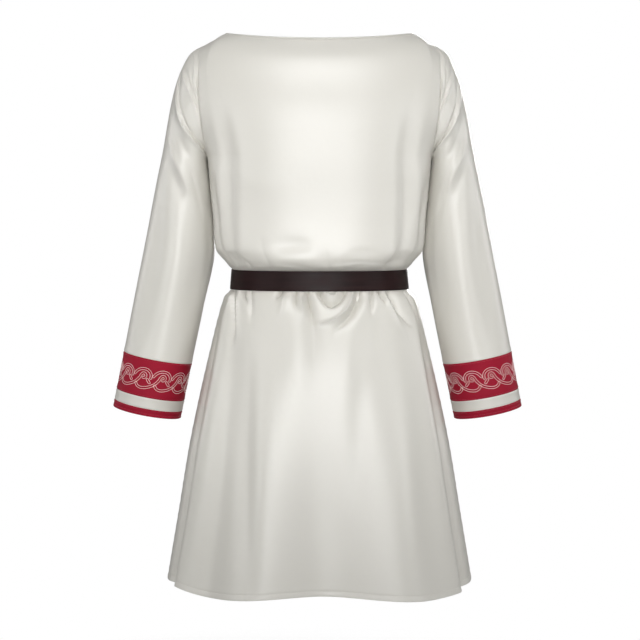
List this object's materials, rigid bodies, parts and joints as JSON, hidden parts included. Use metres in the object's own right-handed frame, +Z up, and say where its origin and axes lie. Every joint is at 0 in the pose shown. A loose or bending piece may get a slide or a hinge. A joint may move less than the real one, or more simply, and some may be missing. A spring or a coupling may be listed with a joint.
{
  "type": "viking tunic robe in satin with a leather belt",
  "caption": "Off-white satin tunic robe with a wide boat neck, long sleeves, red and white cuffs with interlace, and a dark leather belt, filled out as if worn.",
  "frame": {"origin": "midway between the two points where the neckline rests on the wearer's shoulders", "axes": "+Z up, +X to the wearer's right, +Y out of the wearer's chest, so that the back, which the picture shows, faces -Y"},
  "size_m": [0.722, 0.3937, 0.9553],
  "materials": {
    "satin": "off-white satin with a soft sheen",
    "red_cloth": "deep red woven cloth",
    "leather": "smooth dark brown, lightly polished",
    "brass": "aged, rubbed bright on the edges"
  },
  "bodies": {
    "root": {"back_panel": "satin", "front_panel": "satin", "neck_band": "satin", "sleeve_left": "satin", "cuff_band_left": "red_cloth", "cuff_stripe_left": "satin", "cuff_edge_left": "red_cloth", "sleeve_right": "satin", "cuff_band_right": "red_cloth", "cuff_stripe_right": "satin", "cuff_edge_right": "red_cloth", "belt_strap": "leather", "belt_keeper": "leather", "buckle_frame": "brass", "buckle_prong": "brass"}
  },
  "joints": []
}
